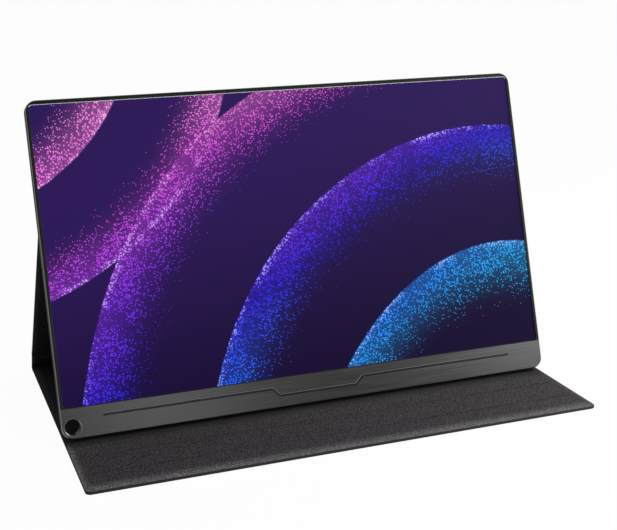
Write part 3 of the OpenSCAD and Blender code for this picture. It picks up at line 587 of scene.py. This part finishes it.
is_chin = add_node(tree, "ShaderNodeMath", {"operation": "LESS_THAN"},
                   {0: parts.outputs["Z"], 1: CHIN_HEIGHT})
across = add_node(tree, "ShaderNodeMath", {"operation": "ABSOLUTE"}, {0: parts.outputs["X"]})
in_reach = add_node(tree, "ShaderNodeMath", {"operation": "LESS_THAN"},
                    {0: across.outputs[0], 1: LINE_REACH})
above = add_node(tree, "ShaderNodeMath", {"operation": "GREATER_THAN"},
                 {0: parts.outputs["Z"], 1: LINE_LOW})
on_line = add_node(tree, "ShaderNodeMath", {"operation": "MULTIPLY"},
                   {0: in_reach.outputs[0], 1: above.outputs[0]})
on_line = add_node(tree, "ShaderNodeMath", {"operation": "MULTIPLY"},
                   {0: on_line.outputs[0], 1: is_chin.outputs[0]})
upward = add_node(tree, "ShaderNodeVectorMath", {"operation": "DOT_PRODUCT"},
                  {0: surface.outputs["Normal"], 1: monitor_up})
looks_down = add_node(tree, "ShaderNodeMath", {"operation": "LESS_THAN"},
                      {0: upward.outputs["Value"], 1: 0.0})
is_deep = add_node(tree, "ShaderNodeMath", {"operation": "GREATER_THAN"},
                   {0: parts.outputs["Y"], 1: LINE_DEEP})
# Painted highlight on the engraved line's downward-facing flank and painted shade in its depth.
line_highlight_and_shade = add_node(tree, "ShaderNodeMix", {"data_type": "RGBA"},
                       {"Factor": looks_down.outputs[0], 6: face_colour.outputs[2], 7: linear(LINE_HIGHLIGHT)})
line_highlight_and_shade = add_node(tree, "ShaderNodeMix", {"data_type": "RGBA"},
                       {"Factor": is_deep.outputs[0], 6: line_highlight_and_shade.outputs[2], 7: linear(LINE_SHADE)})
cut_colour = add_node(tree, "ShaderNodeMix", {"data_type": "RGBA"},
                      {"Factor": on_line.outputs[0], 6: linear(CHAMFER_BRIGHT), 7: line_highlight_and_shade.outputs[2]})
edge_colour = add_node(tree, "ShaderNodeMix", {"data_type": "RGBA"},
                       {"Factor": is_cut.outputs[0], 6: linear(WALL_DARK), 7: cut_colour.outputs[2]})
front_colour = add_node(tree, "ShaderNodeMix", {"data_type": "RGBA"},
                        {"Factor": is_chin.outputs[0], 6: linear(RIM_DARK), 7: face_colour.outputs[2]})
colour = add_node(tree, "ShaderNodeMix", {"data_type": "RGBA"},
                  {"Factor": is_front.outputs[0], 6: edge_colour.outputs[2], 7: front_colour.outputs[2]})
engraved = add_node(tree, "ShaderNodeMath", {"operation": "SUBTRACT"},
                    {0: is_cut.outputs[0], 1: is_front.outputs[0]})
engraved = add_node(tree, "ShaderNodeMath", {"operation": "MULTIPLY"},
                    {0: engraved.outputs[0], 1: on_line.outputs[0]})
is_metal = add_node(tree, "ShaderNodeMath", {"operation": "SUBTRACT"},
                    {0: is_cut.outputs[0], 1: engraved.outputs[0]})
gloss = add_node(tree, "ShaderNodeMapRange", None,
                 {"Value": strokes.outputs["Fac"], "From Min": 0.25, "From Max": 0.75,
                  "To Min": 0.25, "To Max": 0.36})
dull = add_node(tree, "ShaderNodeMath", {"operation": "MULTIPLY_ADD"},
                {0: engraved.outputs[0], 1: ENGRAVED_DULL, 2: gloss.outputs["Result"]})
scratch = add_node(tree, "ShaderNodeBump", None,
                   {"Strength": 0.12, "Distance": 0.05 * MM, "Height": strokes.outputs["Fac"]})
tree.links.new(colour.outputs[2], shader.inputs["Base Color"])
tree.links.new(dull.outputs[0], shader.inputs["Roughness"])
tree.links.new(scratch.outputs["Normal"], shader.inputs["Normal"])
tree.links.new(is_metal.outputs[0], shader.inputs["Metallic"])
shader.inputs["Specular IOR Level"].default_value = 0.05
paint_nodes(brushed, "front_frame")


# Black parts are moulded ABS with a fine spark-eroded texture: the display surround, the sockets'
# bodies, the buttons and the jog wheel. Their grain is 0.3 mm, drawn at 0.6 mm so that it shows.
def two_tone(name, dark, light, metallic, roughness, grain, bump, specular=0.5):
    """A finish whose colour and height wander between two tones at the size of its grain."""
    material = bpy.data.materials.new(name)
    material.use_nodes = True
    tree = material.node_tree
    shader = tree.nodes["Principled BSDF"]
    place = add_node(tree, "ShaderNodeTexCoord")
    speckle = add_node(tree, "ShaderNodeTexNoise", None,
                       {"Vector": place.outputs["Object"], "Scale": 1 / grain,
                        "Detail": 4.0, "Roughness": 0.6})
    cloud = add_node(tree, "ShaderNodeTexNoise", None,
                     {"Vector": place.outputs["Object"], "Scale": 0.03 / grain, "Detail": 2.0})
    share = add_node(tree, "ShaderNodeMath", {"operation": "MULTIPLY_ADD"},
                     {0: speckle.outputs["Fac"], 1: 0.5, 2: cloud.outputs["Fac"]})
    spread = add_node(tree, "ShaderNodeMapRange", None,
                      {"Value": share.outputs[0], "From Min": 0.5, "From Max": 1.0})
    tone = add_node(tree, "ShaderNodeMix", {"data_type": "RGBA"},
                    {"Factor": spread.outputs["Result"], 6: linear(dark), 7: linear(light)})
    relief = add_node(tree, "ShaderNodeBump", None,
                      {"Strength": 0.3, "Distance": bump, "Height": speckle.outputs["Fac"]})
    tree.links.new(tone.outputs[2], shader.inputs["Base Color"])
    tree.links.new(relief.outputs["Normal"], shader.inputs["Normal"])
    shader.inputs["Metallic"].default_value = metallic
    shader.inputs["Roughness"].default_value = roughness
    shader.inputs["Specular IOR Level"].default_value = specular
    return material


surround = two_tone("moulded_black_surround", "#1b1b19", "#262623", 0, 0.5, 0.6 * MM, 0.02 * MM, 0.12)
paint_nodes(surround, "display_surround")

# The surround's chamfer at the head of the window, which faces down, gets a painted reflection: it shows as
# a thin pale line.
HEAD_HIGHLIGHT = "#e0e0e2"
tree = surround.node_tree
shader = tree.nodes["Principled BSDF"]
plain = shader.inputs["Base Color"].links[0].from_socket
surface = add_node(tree, "ShaderNodeTexCoord")
facing = add_node(tree, "ShaderNodeVectorMath", {"operation": "DOT_PRODUCT"},
                  {0: surface.outputs["Normal"], 1: -monitor_depth})
upward = add_node(tree, "ShaderNodeVectorMath", {"operation": "DOT_PRODUCT"},
                  {0: surface.outputs["Normal"], 1: monitor_up})
is_flank = add_node(tree, "ShaderNodeMath", {"operation": "LESS_THAN"},
                    {0: facing.outputs["Value"], 1: FRONT_FACING})
# Painted reflection on the downward-facing chamfer at the head of the window.
at_head = add_node(tree, "ShaderNodeMapRange", {"interpolation_type": "SMOOTHSTEP"},
                   {"Value": upward.outputs["Value"], "From Min": -0.2, "From Max": -0.5})
head_highlight = add_node(tree, "ShaderNodeMath", {"operation": "MULTIPLY"},
                  {0: is_flank.outputs[0], 1: at_head.outputs["Result"]})
finish = add_node(tree, "ShaderNodeMix", {"data_type": "RGBA"},
                  {"Factor": head_highlight.outputs[0], 6: plain, 7: linear(HEAD_HIGHLIGHT)})
tree.links.new(finish.outputs[2], shader.inputs["Base Color"])
paint_nodes(two_tone("moulded_black_abs", "#121213", "#1b1b1d", 0, 0.45, 0.6 * MM, 0.03 * MM),
            "headphone_socket", "power_button", "back_button", "jog_wheel", "speaker_left", "speaker_right")

# The rear housing is blasted and anodised aluminium, nearly black and quite matt.
paint_nodes(two_tone("blasted_anodised_aluminium", "#0f0f10", "#171719", 0, 0.55, 0.5 * MM, 0.03 * MM, 0.3),
            "rear_housing")

# The pen hole's bush is turned from bare aluminium and left bright.
paint_nodes(two_tone("turned_bright_aluminium", "#68686b", "#8a8a8d", 1, 0.3, 0.8 * MM, 0.01 * MM),
            "pen_hole_bush")

# Bare steel: stamped sockets, shield, back plate, screws and the jog wheel's pin.
paint_nodes(two_tone("stamped_steel", "#8a8d90", "#a7aaac", 1, 0.32, 1.5 * MM, 0.01 * MM),
            "panel_back_plate", "shield_can", "hdmi_socket", "usb_c_socket_1", "usb_c_socket_2", "jog_pin")
paint_nodes(two_tone("blackened_screw_steel", "#1b1b1c", "#2b2b2d", 1, 0.38, 0.5 * MM, 0.01 * MM),
            "case_screws", "board_screws")

# Neodymium magnets are nickel plated.
paint_nodes(two_tone("nickel_plate", "#9a9890", "#b5b3aa", 1, 0.2, 2.0 * MM, 0.005 * MM),
            "edge_magnets", "back_magnets", "base_magnets", "back_panel_magnets")

# Circuit boards carry green solder mask over woven glass; their chips are black epoxy.
paint_nodes(two_tone("green_solder_mask", "#0d3a22", "#15502f", 0, 0.3, 1.2 * MM, 0.02 * MM),
            "main_board", "tcon_board", "key_board")
paint_nodes(two_tone("black_epoxy", "#161618", "#222224", 0, 0.55, 0.3 * MM, 0.02 * MM),
            "board_chips", "display_cable")
paint_nodes(two_tone("red_pvc_insulation", "#6d1412", "#8b1c18", 0, 0.4, 0.6 * MM, 0.01 * MM),
            "speaker_leads")

# The display's inner sheets: clear acrylic and films, white polycarbonate frame and reflector.
paint_nodes(two_tone("clear_acrylic_sheet", "#cfdde0", "#e2edef", 0, 0.12, 3.0 * MM, 0.005 * MM),
            "optical_films", "light_guide")
paint_nodes(two_tone("white_polycarbonate", "#d6d6d0", "#e8e8e4", 0, 0.5, 0.8 * MM, 0.02 * MM),
            "panel_frame", "reflector_sheet", "led_bar")

# Pressed greyboard stiffens the cover; it has visible paper fibres.
paint_nodes(two_tone("pressed_greyboard", "#5f5b52", "#7a756a", 0, 0.9, 1.0 * MM, 0.08 * MM),
            "base_board", "spine_board", "stand_board", "back_panel_board")


# The display is a matt liquid crystal panel, lit from behind. It shows a generic pattern: dotted
# shells round far centres, each with a bright rim and a fading tail, violet to cyan on deep purple.
SCREEN_MIDDLE = (0.0, 0.0, 0.1173)
PURPLE_TOP = "#2b1557"
PURPLE_LOW = "#13022f"
DOT_PITCH = 1.45 * MM
SHELL_BLUR = 0.6 * MM
RIM_WIDTH = 5 * MM
TAIL_FROM = 2 * MM
TAIL_SHARE = 0.62
SHELLS = (
    {"at": (0.150, -0.190), "first": 185 * MM, "pitch": 85 * MM, "count": 3, "bend": 0.045},
    {"at": (-0.250, 0.175), "first": 165 * MM, "pitch": 70 * MM, "count": 2, "bend": 0.030},
)

display = bpy.data.materials.new("lit_matt_display")
display.use_nodes = True
tree = display.node_tree
shader = tree.nodes["Principled BSDF"]
here = monitor_place(tree)
centred = add_node(tree, "ShaderNodeVectorMath", {"operation": "SUBTRACT"}, {0: here, 1: SCREEN_MIDDLE})
flat = add_node(tree, "ShaderNodeVectorMath", {"operation": "MULTIPLY"},
                {0: centred.outputs[0], 1: (1, 0, 1)})
drift = add_node(tree, "ShaderNodeTexNoise", None,
                 {"Vector": flat.outputs[0], "Scale": 4.0, "Detail": 0.0})
mist = add_node(tree, "ShaderNodeTexNoise", None,
                {"Vector": flat.outputs[0], "Scale": 30.0, "Detail": 4.0, "Roughness": 0.65})


def maths(operation, a, b=0.0, c=0.0):
    """One Math node's output in the display's tree."""
    node = add_node(tree, "ShaderNodeMath", {"operation": operation}, {0: a, 1: b, 2: c})
    return node.outputs[0]


def smooth(value, low, high, top=1.0):
    """A soft step from nothing at low to top at high."""
    return add_node(tree, "ShaderNodeMapRange", {"interpolation_type": "SMOOTHSTEP"},
                    {"Value": value, "From Min": low, "From Max": high, "To Max": top}).outputs["Result"]


def blend_colours(share, a, b):
    """A colour mixed from two in the display's tree."""
    return add_node(tree, "ShaderNodeMix", {"data_type": "RGBA"}, {"Factor": share, 6: a, 7: b}).outputs[2]


tails, rims = [], []
for shell in SHELLS:
    centre = (shell["at"][0], 0, shell["at"][1])
    distance = add_node(tree, "ShaderNodeVectorMath", {"operation": "DISTANCE"},
                        {0: flat.outputs[0], 1: centre})
    bent = maths("MULTIPLY_ADD", drift.outputs["Fac"], shell["bend"], distance.outputs["Value"])
    for turn in range(shell["count"]):
        radius = shell["first"] + turn * shell["pitch"]
        inward = maths("SUBTRACT", radius, bent)
        outer = smooth(inward, -SHELL_BLUR, SHELL_BLUR)
        tail = maths("SUBTRACT", 1.0, smooth(inward, TAIL_FROM, TAIL_SHARE * shell["pitch"]))
        rim = maths("SUBTRACT", 1.0, smooth(inward, 0.0, RIM_WIDTH))
        tails.append(maths("MULTIPLY", outer, tail))
        rims.append(maths("MULTIPLY", rim, outer))
tail, rim = tails[0], rims[0]
for other_tail, other_rim in zip(tails[1:], rims[1:]):
    tail = maths("MAXIMUM", tail, other_tail)
    rim = maths("MAXIMUM", rim, other_rim)
patchy = maths("MULTIPLY", tail, smooth(mist.outputs["Fac"], 0.22, 0.56))
rim = maths("MULTIPLY", rim, smooth(mist.outputs["Fac"], 0.35, 0.7))

dots = add_node(tree, "ShaderNodeTexVoronoi", {"feature": "F1", "voronoi_dimensions": "3D"},
                {"Vector": flat.outputs[0], "Scale": 1 / DOT_PITCH, "Randomness": 0.75})
lot = add_node(tree, "ShaderNodeSeparateColor", None, {0: dots.outputs["Color"]})
kept = maths("LESS_THAN", lot.outputs[0], smooth(patchy, 0.0, 0.38))
radius = maths("MULTIPLY_ADD", smooth(patchy, 0.0, 1.0), 0.28, 0.24)
dot = maths("MULTIPLY", smooth(maths("SUBTRACT", radius, dots.outputs["Distance"]), 0.0, 0.15), kept)

parts = add_node(tree, "ShaderNodeSeparateXYZ", None, {0: flat.outputs[0]})
slope = maths("MULTIPLY_ADD", parts.outputs["X"], -1.1, maths("MULTIPLY", parts.outputs["Z"], 3.2))
hue_from = maths("MULTIPLY_ADD", drift.outputs["Fac"], 0.5, slope)
ramp = add_node(tree, "ShaderNodeValToRGB", None, {"Fac": smooth(hue_from, -0.25, 0.75)})
stops = (
    (0.0, "#22c4ff"), (0.22, "#1f74ff"), (0.42, "#3428f2"),
    (0.62, "#8a35ee"), (0.82, "#dc55dc"), (1.0, "#ff96e0"),
)
while len(ramp.color_ramp.elements) < len(stops):
    ramp.color_ramp.elements.new(0.5)
for element, (where, code) in zip(ramp.color_ramp.elements, stops):
    element.position = where
    element.color = linear(code)
hue = ramp.outputs["Color"]

fall = maths("MULTIPLY_ADD", parts.outputs["Z"], 5.2, maths("MULTIPLY_ADD", parts.outputs["X"], -1.2, 0.5))
ground = blend_colours(smooth(fall, -0.1, 0.9), linear(PURPLE_LOW), linear(PURPLE_TOP))
hazy = blend_colours(maths("MULTIPLY", maths("POWER", tail, 2.2), 0.24), ground, hue)
lit = blend_colours(maths("MULTIPLY", rim, 0.5), hazy, hue)
picture = blend_colours(dot, lit, blend_colours(maths("MULTIPLY", rim, 0.55), hue, (1, 1, 1, 1)))
tree.links.new(picture, shader.inputs["Emission Color"])
shader.inputs["Emission Strength"].default_value = 1.0
shader.inputs["Base Color"].default_value = linear("#050506")
shader.inputs["Roughness"].default_value = 0.55
shader.inputs["Specular IOR Level"].default_value = 0.05
paint_nodes(display, "lcd_cell")
